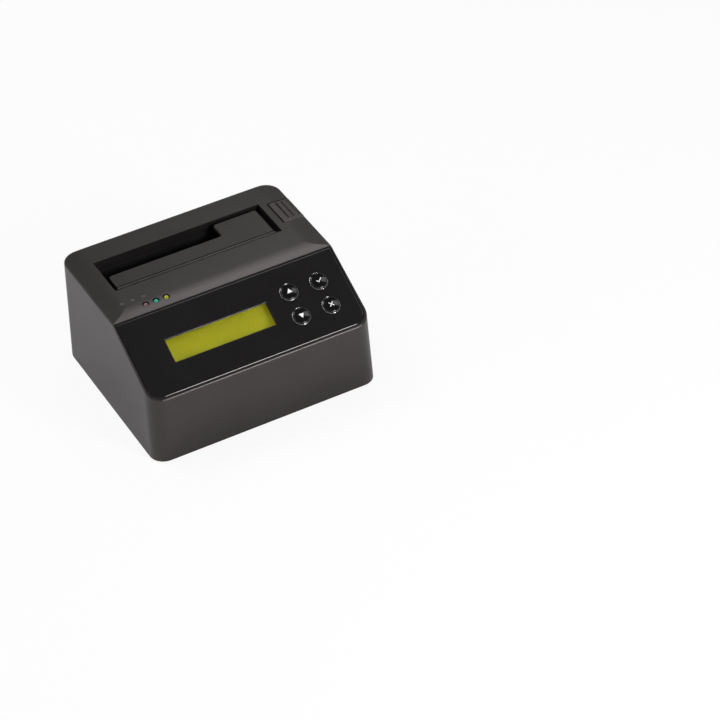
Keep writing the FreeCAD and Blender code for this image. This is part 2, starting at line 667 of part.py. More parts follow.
# Keys, their switches and the key board
key_board = panel_body("key_board")
add(key_board, [rect("key_board_left", "keys_s - key_pitch_s / 2 - 9.5",
                     "keys_x + key_pitch_x / 2 + 3.8", "keys_s + key_pitch_s / 2 + 9.5")],
    "lcd_back", "lcd_front")
cut(key_board, [(x, y, "1.1") for x, y in KEY_HOLES], "lcd_back - 1", "lcd_front + 1")
key_switches = panel_body("key_switches")
SWITCH_TOP = "lcd_front + switch_rise"
add(key_switches, [box_at(x, y, "switch_side / 2", "switch_side / 2") for x, y in KEY_SPOTS.values()],
    "lcd_front", SWITCH_TOP)
cut(key_switches, [(x, y, "plunger_radius + 0.06") for x, y in KEY_SPOTS.values()],
    "lcd_front + 1", SWITCH_TOP + " + 1")
PLUNGER_TOP = SWITCH_TOP + " + plunger_rise"
for word, (x, y) in KEY_SPOTS.items():
    plunger = panel_body("plunger_" + word)
    add(plunger, [(x, y, "plunger_radius")], "lcd_front + 2", PLUNGER_TOP)
    key_dome = new_body("key_dome_" + word, node=False)
    ball = key_dome.newObject("PartDesign::AdditiveSphere", "Ball")
    bind(ball, "Radius", "key_ball")
    place(ball, "Placement", "0", (x, y, "key_proud - key_ball"))
    key = panel_body("key_" + word)
    add(key, [(x, y, "key_radius")], "-panel_thick", "key_proud")
    combine(key, key_dome, "Common")
    soften(key, "key_edge", flat_at("key_proud - key_crown"))
    add(key, [(x, y, "key_radius + key_flange")], "-panel_thick - key_flange_thick", "-panel_thick")
    add(key, [(x, y, "plunger_radius + 0.4")], PLUNGER_TOP, "-panel_thick - key_flange_thick")

# Status lights on their board
for word, spot in zip(("red", "green", "amber"), LED_SPOTS):
    led = new_body("led_" + word)
    add(led, [(spot, "led_y", "led_radius")], "led_low", "led_low + led_tall")
    soften(led, "led_radius - 0.1", flat_at("led_low + led_tall"))
    add(led, [(spot, "led_y", "led_radius + 0.3")], "led_low", "led_low + 1")
    LEGS = [box_at(spot, "led_y %s 1.27 / 2" % sign, "0.25", "0.25") for sign in "-+"]
    add(led, LEGS, "led_board_top", "led_low")
indicator_board = new_body("indicator_board")
add(indicator_board, [box_at("led_x", "led_y", "led_pitch + 7.4", "3.8")],
    "led_board_top - board_thick", "led_board_top")

# Drive well under the slot
drive_well = new_body("drive_well")
add(drive_well, [rect("slot_left - well_wall", "slot_front - well_wall",
                      "slot_right + well_wall", "slot_rear + well_wall")], "floor_low", "skirt_low")
cut(drive_well, [rect("slot_left", "slot_front", "slot_right", "slot_rear")], "drive_seat", "skirt_low + 1")
cut(drive_well, [box_at("sata_x", "sata_y", "sata_length / 2 + 0.5", "sata_wide / 2 + 0.4")],
    "floor_low - 1", "drive_seat + 1")
cut(drive_well, [rect("lever_tip - 2", "lever_y - lever_wide / 2 - 0.4", "slot_right + well_wall + 1",
                      "lever_y + lever_wide / 2 + 0.4")], "floor_low - 1", "drive_seat + 1.2")
LUGS = [rect("pivot_x - 2", "lever_y %s (lug_back - 2)" % sign, "pivot_x + 2", "lever_y %s lug_back" % sign)
        for sign in "-+"]
add(drive_well, LUGS, "pivot_z - 2.2", "floor_low + 0.2")
cut(drive_well, [("pivot_x", "pivot_z", "pivot_radius + 0.02")],
    "lever_y - lug_back - 1", "lever_y + lug_back + 1", "XZ_Plane")

# Flap of the slot with its pin and spring
SPRING_GAP = "flap_left + 9"
slot_flap = new_body("slot_flap")
add(slot_flap, [[("flap_left", "hinge_y"), ("flap_right", "hinge_y"), ("flap_right", "flap_rear"),
                 ("notch_right", "flap_rear"), ("notch_right", "notch_front - 0.8"),
                 ("flap_left", "notch_front - 0.8")]], "flap_top - flap_thick", "flap_top")


def flap_corner(shape, edge):
    return upright(shape, edge) and middle(edge).y > size("hinge_y") + 1


def flap_rim(shape, edge):
    return flat_at("flap_top")(shape, edge) and middle(edge).y > size("hinge_y") + 0.1


soften(slot_flap, "flap_corner", flap_corner)
soften(slot_flap, "flap_edge", flap_rim)
add(slot_flap, [("hinge_y", "hinge_z", "flap_barrel")], "flap_left", "flap_right", "YZ_Plane")
cut(slot_flap, [("hinge_y", "hinge_z", "flap_pin_radius + 0.05")],
    "flap_left - 1", "flap_right + 1", "YZ_Plane")
cut(slot_flap, [rect(SPRING_GAP, "hinge_y - flap_barrel - 1",
                     SPRING_GAP + " + 4.4", "hinge_y + flap_barrel + 0.7")],
    "flap_top - 4", "flap_top - 0.25")
cut(slot_flap, [rect("flap_left - 1", "hinge_y + 0.7", "flap_right + 1", "hinge_y + 1.3")],
    "flap_top - 0.7", "flap_top + 1")
flap_pin = new_body("flap_pin")
add(flap_pin, [("hinge_y", "hinge_z", "flap_pin_radius")],
    "slot_left - skirt_wall", "slot_right + skirt_wall", "YZ_Plane")


def coil(radius, wire, length, turns):
    """A spring of square wire about Z, with the middle of its lower end at height zero."""
    path = Part.makeHelix((length - wire) / turns, length - wire, radius)
    inner, outer = radius - wire / 2, radius + wire / 2
    low, high = -wire / 2, wire / 2
    corners = [(inner, low), (outer, low), (outer, high), (inner, high), (inner, low)]
    profile = Part.makePolygon([FreeCAD.Vector(x, 0, z) for x, z in corners])
    return Part.Wire(path).makePipeShell([profile], True, True)


flap_spring = doc.addObject("Part::Feature", "flap_spring")
flap_spring.Label = "flap_spring"
flap_wire = 0.26
flap_coil = coil(size("flap_pin_radius") + 0.21, flap_wire, 3.6, 6)
flap_coil.rotate(FreeCAD.Vector(0, 0, 0), FreeCAD.Vector(0, 1, 0), 90)
leg_low = -size("flap_thick - flap_barrel") - flap_wire - 0.02
leg_corner = FreeCAD.Vector(3.6 - 1.5 * flap_wire, 0, leg_low)
flap_spring.Shape = flap_coil.fuse(Part.makeBox(flap_wire, 7, flap_wire, leg_corner))
flap_spring.Placement = FreeCAD.Placement(
    FreeCAD.Vector(size(SPRING_GAP) + 0.5, size("hinge_y"), size("hinge_z")), FreeCAD.Rotation())
NODES.append(flap_spring)

# Eject button, its spring, lever and pin
BUTTON_LEFT = "eject_x + eject_gap_left"
WALL_AT = "rim_x + (rim_height - (%s)) * draft_slope"
LIP_LOW = "rim_height - eject_lip"
INNER_FACE = "rim_x - wall - eject_gap"
eject_button = new_body("eject_button")
add(eject_button, [[
    (BUTTON_LEFT, "top_z + 1"), (WALL_AT % "top_z + 1", "top_z + 1"), (WALL_AT % LIP_LOW, LIP_LOW),
    (INNER_FACE, LIP_LOW), (INNER_FACE, "eject_low - 1"),
    (INNER_FACE + " - 1.6", "eject_low - 1"), (INNER_FACE + " - 1.6", "rim_height - 2.4"),
    (BUTTON_LEFT + " + 1.6", "rim_height - 2.4"), (BUTTON_LEFT + " + 1.6", LIP_LOW), (BUTTON_LEFT, LIP_LOW),
]], "eject_y - eject_length / 2 + eject_gap", "eject_y + eject_length / 2 - eject_gap", "XZ_Plane")
combine(eject_button, crown("button_crown"), "Common")


def button_edge(shape, edge):
    point = middle(edge)
    on_top = point.z > size("rim_height") - 1.5
    return on_top and point.x > size(BUTTON_LEFT) - 0.1 and outer_rim(shape, edge)


soften(eject_button, "0.5", button_edge)
GROOVES = ["plateau_x + 2", "plateau_x + 5.4", "plateau_x + 8.8"]
cut(eject_button, [rect(x + " - groove_half", "eject_y - 7.3", x + " + groove_half", "eject_y + 8.8")
                   for x in GROOVES], "rim_height - 0.55", "top_z + 1")


def groove_rim(shape, edge):
    """The long upper edges of the grooves."""
    point = middle(edge)
    beside = [near(abs(point.x - size(x)), size("groove_half")) for x in GROOVES]
    return edge.BoundBox.YLength > 10 and point.z > size("rim_height") and any(beside)


soften(eject_button, "groove_break", groove_rim, "Chamfer")
add(eject_button, [("stem_x", "lever_y", "stem_radius")], "stem_low", "rim_height - 2")
soften(eject_button, "stem_radius - 0.1", flat_at("stem_low"))
add(eject_button, [("stem_x", "lever_y", "stem_radius + 1.8")], "stem_collar", "stem_collar + 2")

eject_spring = doc.addObject("Part::Feature", "eject_spring")
eject_spring.Label = "eject_spring"
eject_wire = 0.6
eject_room = size("stem_collar - shelf_top - 2 * spring_clear")
eject_spring.Shape = coil(size("stem_radius") + 0.85, eject_wire, eject_room, 5)
eject_spring.Placement = FreeCAD.Placement(
    FreeCAD.Vector(size("stem_x"), size("lever_y"), size("shelf_top + spring_clear") + eject_wire / 2),
    FreeCAD.Rotation())
NODES.append(eject_spring)

eject_lever = new_body("eject_lever")
LEVER_SIDES = ("lever_y - lever_wide / 2", "lever_y + lever_wide / 2")
add(eject_lever, [[("lever_tip", "lever_low + 1.4"), ("lever_tip + 1.4", "lever_low"),
                   ("stem_x + 2.4", "lever_low"), ("stem_x + 2.4", "lever_high"),
                   ("lever_tip + 1.4", "lever_high"), ("lever_tip", "lever_high - 0.8")]],
    LEVER_SIDES[0], LEVER_SIDES[1], "XZ_Plane")
add(eject_lever, [("pivot_x", "pivot_z", "pivot_radius + 1.05")], LEVER_SIDES[0], LEVER_SIDES[1], "XZ_Plane")
cut(eject_lever, [("pivot_x", "pivot_z", "pivot_radius + 0.05")],
    "lever_y - lever_wide", "lever_y + lever_wide", "XZ_Plane")
eject_pin = new_body("eject_pin")
add(eject_pin, [("pivot_x", "pivot_z", "pivot_radius")],
    "lever_y - lug_back", "lever_y + lug_back", "XZ_Plane")

# Main board and the parts soldered to it
main_board = new_body("main_board")
add(main_board, [rect("board_left", "board_front", "board_right", "board_rear")], "board_low", "board_top")
cut(main_board, [(x, y, "1.3") for x, y in BOARD_HOLES] + [(x, y, "3.4") for x, y in WELL_POSTS],
    "board_low - 1", "board_top + 1")
sata_connector = new_body("sata_connector")
SATA_TOP = "drive_seat + sata_engage"
SATA_SIGNAL = ("sata_x - sata_length / 2 + 2.5", "sata_x - sata_length / 2 + 12.7")
SATA_POWER = ("sata_x - sata_length / 2 + 15.1", "sata_x + sata_length / 2 - 2.5")
add(sata_connector, [box_at("sata_x", "sata_y", "sata_length / 2", "sata_wide / 2")], "board_top", SATA_TOP)
SATA_SLOTS = [[(low, "sata_y - 1.1"), (high, "sata_y - 1.1"), (high, "sata_y + 1.1"),
               (low + " + 1.2", "sata_y + 1.1"), (low + " + 1.2", "sata_y + 2.1"), (low, "sata_y + 2.1")]
              for low, high in (SATA_SIGNAL, SATA_POWER)]
cut(sata_connector, SATA_SLOTS, SATA_TOP + " - 6", SATA_TOP + " + 1")
sata_contacts = new_body("sata_contacts")
CONTACTS = ["%s + 1.29 + 1.27 * %d" % (SATA_SIGNAL[0], i) for i in range(7)]
CONTACTS += ["%s + 1.46 + 1.27 * %d" % (SATA_POWER[0], i) for i in range(15)]
add(sata_contacts, [box_at(x, "sata_y - 0.95", "0.3", "0.15") for x in CONTACTS],
    SATA_TOP + " - 6", SATA_TOP + " - 0.6")
controller_chip = new_body("controller_chip")
add(controller_chip, [box_at("8", "board_front + 28", "7", "7"),
                      box_at("-12", "board_front + 10", "3", "4.5")], "board_top", "board_top + 1.4")
power_inductor = new_body("power_inductor")
add(power_inductor, [box_at("board_right - 13", "board_front + 14", "5", "5")],
    "board_top", "board_top + 4.5")
soften(power_inductor, "1.2", upright)
capacitors = new_body("capacitors")
add(capacitors, [("board_left + 7", "slot_front - 18.6", "4"), ("board_left + 7", "slot_front - 8.6", "4"),
                 ("board_right - 21", "board_front + 6", "3.2")], "board_top", "board_top + 11")
soften(capacitors, "0.6", flat_at("board_top + 11"), "Chamfer")

# Rear ports and switch
REAR_FACE = "body_depth / 2 - 0.9"
usb_shell = new_body("usb_shell")
USB_MIDDLE = "board_top + usb_tall / 2"
add(usb_shell, [bevelled("usb_x", USB_MIDDLE, "usb_wide / 2", "usb_tall / 2", "usb_bevel")],
    "slot_rear + well_wall + 1", REAR_FACE, "XZ_Plane")
cut(usb_shell, [bevelled("usb_x", USB_MIDDLE, "usb_wide / 2 - 0.5", "usb_tall / 2 - 0.5", "usb_bevel")],
    "slot_rear + well_wall + 4", REAR_FACE + " + 1", "XZ_Plane")
usb_tongue = new_body("usb_tongue")
add(usb_tongue, [box_at("usb_x", USB_MIDDLE, "2.8", "1.6")],
    "slot_rear + well_wall + 4", REAR_FACE + " - 1.2", "XZ_Plane")
dc_jack = new_body("dc_jack")
JACK_MIDDLE = "board_top + jack_axis"
add(dc_jack, [rect("jack_x - jack_side / 2", "board_top",
                   "jack_x + jack_side / 2", JACK_MIDDLE + " + jack_side / 2")],
    "slot_rear + well_wall + 2", "rim_y - wall - 0.5", "XZ_Plane")
add(dc_jack, [("jack_x", JACK_MIDDLE, "4")], "rim_y - wall - 0.6", REAR_FACE, "XZ_Plane")
cut(dc_jack, [("jack_x", JACK_MIDDLE, "3.15")], "slot_rear + well_wall + 6", REAR_FACE + " + 1", "XZ_Plane")
dc_pin = new_body("dc_pin")
add(dc_pin, [("jack_x", JACK_MIDDLE, "1")], "slot_rear + well_wall + 6", REAR_FACE + " - 1", "XZ_Plane")


def pin_end(shape, edge):
    return near(middle(edge).y, size(REAR_FACE + " - 1")) and edge.BoundBox.YLength < 0.01


soften(dc_pin, "0.4", pin_end)

SWITCH_BASE = ("rocker_x", "body_depth / 2", "foot_stand")
switch_body = new_body("switch_body", True, "wall_draft", SWITCH_BASE)
add(switch_body, [box_at("0", "rocker_z", "5.3", "rocker_half + 2.6")], "0", "0.8", "XZ_Plane")
add(switch_body, [box_at("0", "rocker_z", "4.2", "rocker_half + 1.7")], "-11", "0.1", "XZ_Plane")
cut(switch_body, [box_at("0", "rocker_z", "3.4", "rocker_half + 0.75")], "-5.4", "2", "XZ_Plane")
cut(switch_body, [("rocker_depth", "rocker_z", "0.96")], "-3.95", "3.95", "YZ_Plane")
switch_terminals = new_body("switch_terminals", True, "wall_draft", SWITCH_BASE)
add(switch_terminals, [box_at("0", "rocker_z %s 3.6" % sign, "2.4", "0.4") for sign in "-+"],
    "-14.5", "-11", "XZ_Plane")
ROCKER_Y = "body_depth / 2 + rocker_depth * cos(wall_draft * 1deg) - rocker_z * sin(wall_draft * 1deg)"
ROCKER_Z = "foot_stand + rocker_depth * sin(wall_draft * 1deg) + rocker_z * cos(wall_draft * 1deg)"
power_rocker = new_body("power_rocker", True, "wall_draft + rocker_throw", ("rocker_x", ROCKER_Y, ROCKER_Z))
add(power_rocker, [[("1.95", "-rocker_half"), ("1.95 - rocker_half * tan(rocker_throw * 1deg)", "0"),
                    ("1.95", "rocker_half"), ("0.4", "rocker_half"), ("-2.4", "2.2"), ("-2.4", "-2.2"),
                    ("0.4", "-rocker_half")]], "-3.1", "3.1", "YZ_Plane")
add(power_rocker, [("0", "0", "0.9")], "-3.9", "3.9", "YZ_Plane")

# Flat cable from the display board down to the main board
display_cable = new_body("display_cable")
CABLE_Y = "front_y + 38 * tilt_cos - lcd_back * tilt_sin"
CABLE_Z = "front_rise + 38 * tilt_sin + lcd_back * tilt_cos"
CABLE_DROP_Y = CABLE_Y + " + 5 * tilt_sin"
CABLE_DROP_Z = CABLE_Z + " - 5 * tilt_cos"
add(display_cable, [[
    (CABLE_Y, CABLE_Z), (CABLE_Y + " + 0.9 * tilt_cos", CABLE_Z + " + 0.9 * tilt_sin"),
    (CABLE_DROP_Y + " + 0.9", CABLE_DROP_Z + " + 0.3"), (CABLE_DROP_Y + " + 0.9", "board_top"),
    (CABLE_DROP_Y, "board_top"), (CABLE_DROP_Y, CABLE_DROP_Z),
]], "display_x - 28", "display_x - 6", "YZ_Plane")

doc.recompute()
os.makedirs("parts", exist_ok=True)
for item in doc.Objects:
    if "Invalid" in item.State or "Error" in item.State:
        raise RuntimeError("not rebuilt: " + item.Label)
for node in NODES:
    if node.Shape.isNull() or not node.Shape.isValid() or node.Shape.Volume <= 0:
        raise RuntimeError("bad shape: " + node.Label)
for node in NODES:
    node.Shape.exportStep("parts/%s.step" % node.Label)
print("wrote", len(NODES), "sub-parts")
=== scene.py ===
import math
import bpy
import bmesh
from mathutils import Matrix, Vector


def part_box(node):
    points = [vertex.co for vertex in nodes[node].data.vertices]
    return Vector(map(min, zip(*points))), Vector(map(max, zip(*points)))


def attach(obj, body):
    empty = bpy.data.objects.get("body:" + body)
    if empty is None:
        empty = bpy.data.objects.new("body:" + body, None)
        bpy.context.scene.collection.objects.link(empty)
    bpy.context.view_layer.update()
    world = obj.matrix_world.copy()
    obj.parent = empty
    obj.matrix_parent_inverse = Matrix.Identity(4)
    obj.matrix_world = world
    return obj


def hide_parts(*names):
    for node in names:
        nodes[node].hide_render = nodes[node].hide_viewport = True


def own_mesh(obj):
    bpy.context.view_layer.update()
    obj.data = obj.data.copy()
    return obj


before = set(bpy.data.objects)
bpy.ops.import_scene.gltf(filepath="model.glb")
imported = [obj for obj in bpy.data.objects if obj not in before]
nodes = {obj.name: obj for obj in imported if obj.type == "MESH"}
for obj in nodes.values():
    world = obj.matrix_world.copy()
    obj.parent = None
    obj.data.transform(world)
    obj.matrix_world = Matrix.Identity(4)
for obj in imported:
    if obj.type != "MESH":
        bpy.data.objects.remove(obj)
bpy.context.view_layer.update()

scene = bpy.context.scene
MM = 0.001

# Panel frame of the CAD model: X across, Y up the slope, Z out of the face
FRONT_Y = -58.8268 * MM
FRONT_Z = 43.2 * MM
PANEL_TILT = math.radians(28.9)
PANEL = Matrix.Translation((0, FRONT_Y, FRONT_Z)) @ Matrix.Rotation(PANEL_TILT, 4, "X")


def panel_box(name):
    """Lowest and highest corners of a node in the panel frame."""
    to_panel = PANEL.inverted()
    points = [to_panel @ vertex.co for vertex in nodes[name].data.vertices]
    return [Vector([pick(point[axis] for point in points) for axis in range(3)]) for pick in (min, max)]


# Materials

RAMP_START = 0.35
RAMP_END = 0.65
TONE_DETAIL = 4.0
GRAIN_DETAIL = 2.0


def node_tree(name):
    """A new material with its node tree and its main shader."""
    mat = bpy.data.materials.new(name)
    mat.use_nodes = True
    tree = mat.node_tree
    return mat, tree, tree.nodes["Principled BSDF"]


def set_sockets(node, values):
    """Set some of a node's input sockets by name, with an underscore for each space."""
    for key, value in values.items():
        node.inputs[key.replace("_", " ")].default_value = value


def add_node(tree, kind, **values):
    """A node with some of its input sockets set by name."""
    node = tree.nodes.new(kind)
    set_sockets(node, values)
    return node


def noise(tree, scale, detail):
    """Noise over the object's own coordinates, in metres."""
    coords = tree.nodes.new("ShaderNodeTexCoord")
    pattern = add_node(tree, "ShaderNodeTexNoise", Scale=scale, Detail=detail)
    tree.links.new(coords.outputs["Object"], pattern.inputs["Vector"])
    return pattern.outputs["Fac"]


def ramp(tree, factor, low, high):
    """Two colours blended by a factor."""
    blend = tree.nodes.new("ShaderNodeValToRGB")
    start, end = blend.color_ramp.elements
    start.position = RAMP_START
    start.color = (*low, 1)
    end.position = RAMP_END
    end.color = (*high, 1)
    tree.links.new(factor, blend.inputs["Fac"])
    return blend.outputs["Color"]


def span(tree, factor, low, high):
    """A factor spread over a range of values."""
    spread = add_node(tree, "ShaderNodeMapRange", To_Min=low, To_Max=high)
    tree.links.new(factor, spread.inputs["Value"])
    return spread.outputs["Result"]


def surface(name, dark, light, rough, grain=2500.0, depth=0.00002, tone=60.0, bump=0.3, **sockets):
    """Moulded or plated surface: slight change of tone, uneven gloss and a fine grain.

    Tone and grain are noise scales, and depth is the height of the grain in metres.
    """
    mat, tree, shader = node_tree(name)
    tree.links.new(ramp(tree, noise(tree, tone, TONE_DETAIL), dark, light), shader.inputs["Base Color"])
    fine = noise(tree, grain, GRAIN_DETAIL)
    tree.links.new(span(tree, fine, *rough), shader.inputs["Roughness"])
    relief = add_node(tree, "ShaderNodeBump", Strength=bump, Distance=depth)
    tree.links.new(fine, relief.inputs["Height"])
    tree.links.new(relief.outputs["Normal"], shader.inputs["Normal"])
    set_sockets(shader, sockets)
    return mat


def lens(name, dark, light):
    """Tinted clear epoxy of a small lamp."""
    return surface(name, dark, light, (0.06, 0.10), grain=600.0, depth=0.000004, tone=400.0,
                   Transmission_Weight=0.35, IOR=1.5)


# Moulded plastics
SATIN = {"Specular_Tint": (1.0, 0.90, 0.90, 1), "IOR": 1.58}
housing = surface("housing_satin", (0.0096, 0.0080, 0.0082), (0.0120, 0.0102, 0.0104), (0.29, 0.37), **SATIN)
flap_plastic = surface("flap_satin", (0.0100, 0.0084, 0.0086), (0.0124, 0.0106, 0.0108), (0.27, 0.35),
                       **SATIN)
button_plastic = surface("button_satin", (0.030, 0.026, 0.0255), (0.034, 0.030, 0.0295), (0.29, 0.37),
                         **SATIN)
inner_black = surface("inner_black", (0.010, 0.010, 0.0105), (0.014, 0.014, 0.0145), (0.45, 0.6))
frame_black = surface("display_frame", (0.012, 0.012, 0.012), (0.018, 0.018, 0.018), (0.3, 0.42))
chip_black = surface("chip_black", (0.010, 0.010, 0.011), (0.016, 0.016, 0.017), (0.45, 0.6))
cable_grey = surface("cable_grey", (0.24, 0.25, 0.27), (0.30, 0.31, 0.33), (0.4, 0.55))
light_guide = surface("light_guide", (0.70, 0.76, 0.45), (0.78, 0.84, 0.55), (0.3, 0.4))
rubber = surface("foot_rubber", (0.012, 0.012, 0.012), (0.018, 0.018, 0.018), (0.7, 0.85), depth=0.00005)
board_green = surface("circuit_board", (0.008, 0.070, 0.030), (0.014, 0.110, 0.050), (0.25, 0.4), tone=500.0)

# Gloss plastics
panel_gloss = surface("panel_gloss", (0.0084, 0.0076, 0.0078), (0.0096, 0.0088, 0.0090), (0.04, 0.08),
                      grain=40.0, depth=0.00001, bump=0.05)
key_gloss = surface("key_gloss", (0.0030, 0.0029, 0.0030), (0.0040, 0.0039, 0.0040), (0.03, 0.06),
                    grain=150.0, depth=0.00001, bump=0.05)

# Metals
steel = surface("plain_steel", (0.50, 0.50, 0.51), (0.60, 0.60, 0.61), (0.22, 0.36),
                grain=1800.0, Metallic=1.0)
# Near-black steel for the flap's hinge pin and spring: painted shade, so that the gap beside the flap reads
# dark
gap_shade_steel = surface("gap_shade_steel", (0.030, 0.030, 0.032), (0.045, 0.045, 0.047), (0.35, 0.5),
                     grain=1800.0, Metallic=1.0)
# Bright chrome for the rings round the keys: a painted highlight standing in for the reflections on the key
# rims
trim_chrome = surface("trim_chrome", (0.55, 0.55, 0.56), (0.62, 0.62, 0.63), (0.08, 0.14),
                      depth=0.000004, Metallic=1.0)
gold = surface("contact_gold", (0.70, 0.50, 0.19), (0.80, 0.60, 0.26), (0.20, 0.32), Metallic=1.0)
aluminium = surface("can_aluminium", (0.62, 0.63, 0.65), (0.72, 0.73, 0.75), (0.25, 0.38), Metallic=1.0)

# Prints
legend_white = surface("legend_white", (0.78, 0.78, 0.78), (0.86, 0.86, 0.86), (0.35, 0.45))
mark_grey = surface("mark_grey", (0.042, 0.040, 0.040), (0.052, 0.050, 0.050), (0.4, 0.5))

# Lit display, lamps and clear window
display_green = surface("display_green", (0.34, 0.32, 0.006), (0.39, 0.37, 0.010), (0.25, 0.35),
                        grain=900.0, depth=0.000005, tone=25.0,
                        Emission_Strength=0.10, Emission_Color=(0.95, 0.92, 0.03, 1))
led_red = lens("led_red_lens", (0.20, 0.10, 0.10), (0.34, 0.19, 0.18))
led_green = lens("led_green_lens", (0.020, 0.38, 0.27), (0.05, 0.56, 0.42))
led_amber = lens("led_amber_lens", (0.46, 0.44, 0.012), (0.66, 0.62, 0.03))
clear_window, clear_tree, clear_shader = node_tree("clear_window")
set_sockets(clear_shader, {"Base_Color": (0.97, 0.98, 0.97, 1), "Transmission_Weight": 1.0, "IOR": 1.25})
clear_haze = span(clear_tree, noise(clear_tree, 60.0, GRAIN_DETAIL), 0.01, 0.05)
clear_tree.links.new(clear_haze, clear_shader.inputs["Roughness"])

# Nodes by material; all others are steel
dressing = (
    (housing, "upper_housing base_plate"),
    (flap_plastic, "slot_flap"),
    (button_plastic, "eject_button"),
    (inner_black, "drive_well eject_lever switch_body power_rocker sata_connector dc_jack usb_tongue"),
    (inner_black, "key_switches plunger_up plunger_down plunger_accept plunger_back"),
    (frame_black, "lcd_bezel"),
    (chip_black, "controller_chip power_inductor"),
    (cable_grey, "display_cable"),
    (light_guide, "lcd_backlight"),
    (rubber, "rubber_feet"),
    (board_green, "lcd_board key_board indicator_board main_board"),
    (panel_gloss, "control_panel"),
    (key_gloss, "key_up key_down key_accept key_back"),
    # Hinge pin and spring in near-black steel: painted shade in the slot gap
    (gap_shade_steel, "flap_pin flap_spring"),
    (gold, "sata_contacts switch_terminals"),
    (aluminium, "capacitors"),
    (display_green, "lcd_glass"),
    (led_red, "led_red"),
    (led_green, "led_green"),
    (led_amber, "led_amber"),
    (clear_window, "display_window"),
)
dress = {name: mat for mat, names in dressing for name in names.split()}
for name, node in nodes.items():
    mat = dress.get(name, steel)
    if not node.material_slots:
        node.data.materials.append(mat)
    for holder in node.material_slots:
        holder.material = mat


# Printed signs, and bright chrome rings that paint the highlight round the keys

PRINT_THICK = 0.00004
DOME_CUTS = 5


def add_piece(name, form, place, body, mat):
    """A finished form as a piece of the part, set in its place on a body."""
    mesh = bpy.data.meshes.new(name)
    form.to_mesh(mesh)
    form.free()
    mesh.transform(place)
    mesh.materials.append(mat)
    piece = bpy.data.objects.new(name, mesh)
    scene.collection.objects.link(piece)
    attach(piece, body)
    return piece


def print_piece(name, outline, place, body, mat, dome=None):
    """Thin printed sign: a closed outline in millimetres that follows a flat or domed surface."""
    form = bmesh.new()
    form.faces.new([form.verts.new((x * MM, y * MM, 0)) for x, y in outline])
    form.normal_update()
    if dome:
        bmesh.ops.triangulate(form, faces=form.faces)
        bmesh.ops.subdivide_edges(form, edges=form.edges, cuts=DOME_CUTS, use_grid_fill=True)
    raised = bmesh.ops.extrude_face_region(form, geom=form.faces[:])
    for item in raised["geom"]:
        if isinstance(item, bmesh.types.BMVert):
            item.co.z = PRINT_THICK
    if dome:
        for point in form.verts:
            point.co.z -= (point.co.x ** 2 + point.co.y ** 2) / (2 * dome)
    bmesh.ops.recalc_face_normals(form, faces=form.faces)
    return add_piece(name, form, place, body, mat)


def turned(outline, degrees, move=(0, 0)):
    """An outline turned about its origin and then moved."""
    cosine, sine = math.cos(math.radians(degrees)), math.sin(math.radians(degrees))
    return [(x * cosine - y * sine + move[0], x * sine + y * cosine + move[1]) for x, y in outline]


def cross(reach, half):
    """Two equal strokes that cross at a slant."""
    arm = [(half, half), (half, reach), (-half, reach)]
    return [point for quarter in range(4) for point in turned(arm, 45 + 90 * quarter)]


def tick(short, long, half, corner):
    """A short and a long stroke that meet in a corner."""
    elbow = [(-half, -half), (long, -half), (long, half), (half, half), (half, short), (-half, short)]
    return turned(elbow, 45, corner)


def disc(radius, count=24):
    """A round outline."""
    return [point for i in range(count) for point in turned([(radius, 0)], 360 * i / count)]


def highlight_ring(name, radius, half_wide, proud, place, body, mat, turns=72, steps=10):
    """Thin raised ring in millimetres, with a rounded crest and a flat underside."""
    form = bmesh.new()
    rows = []
    for turn in range(turns):
        around = 2 * math.pi * turn / turns
        row = []
        for step in range(steps + 1):
            over = math.pi * step / steps
            reach = radius - half_wide * math.cos(over)
            place_on_ring = (reach * math.cos(around), reach * math.sin(around), proud * math.sin(over))
            row.append(form.verts.new(Vector(place_on_ring) * MM))
        rows.append(row)
    for turn in range(turns):
        here, there = rows[turn - 1], rows[turn]
        for step in range(steps):
            form.faces.new((here[step], there[step], there[step + 1], here[step + 1])).smooth = True
        form.faces.new((here[steps], there[steps], there[0], here[0]))
    bmesh.ops.recalc_face_normals(form, faces=form.faces)
    return add_piece(name, form, place, body, mat)


# Signs on the keys, and a bright chrome ring round each key whose shine is a painted highlight for the key's
# rim
KEY_DOME = 30.2 * MM
LEGEND_SUNK = 0.01 * MM
ARROW_HALF = 1.55
ARROW_BASE = 1.0
ARROW_TIP = 1.75
STROKE = 0.24
TICK_SHORT = 1.5
TICK_LONG = 2.85
TICK_CORNER = (-0.4, -0.9)
CROSS_REACH = 1.73
HIGHLIGHT_RING_RADIUS = 5.14
HIGHLIGHT_RING_HALF = 0.16
HIGHLIGHT_RING_PROUD = 0.24
HIGHLIGHT_RING_SUNK = 0.03 * MM
legends = {
    "up": [(-ARROW_HALF, -ARROW_BASE), (ARROW_HALF, -ARROW_BASE), (0, ARROW_TIP)],
    "down": [(-ARROW_HALF, ARROW_BASE), (0, -ARROW_TIP), (ARROW_HALF, ARROW_BASE)],
    "accept": tick(TICK_SHORT, TICK_LONG, STROKE, TICK_CORNER),
    "back": cross(CROSS_REACH, STROKE),
}
for word, outline in legends.items():
    low, high = panel_box("key_" + word)
    middle = (low + high) / 2
    crown_spot = PANEL @ Matrix.Translation((middle.x, middle.y, high.z - LEGEND_SUNK))
    print_piece("legend_" + word, outline, crown_spot, "key_" + word, legend_white, KEY_DOME)
    # Chrome ring round the key: its shine is a painted highlight for the key's rim
    rim_spot = PANEL @ Matrix.Translation((middle.x, middle.y, -HIGHLIGHT_RING_SUNK))
    highlight_ring("trim_" + word, HIGHLIGHT_RING_RADIUS, HIGHLIGHT_RING_HALF, HIGHLIGHT_RING_PROUD, rim_spot, "chassis",
              trim_chrome)

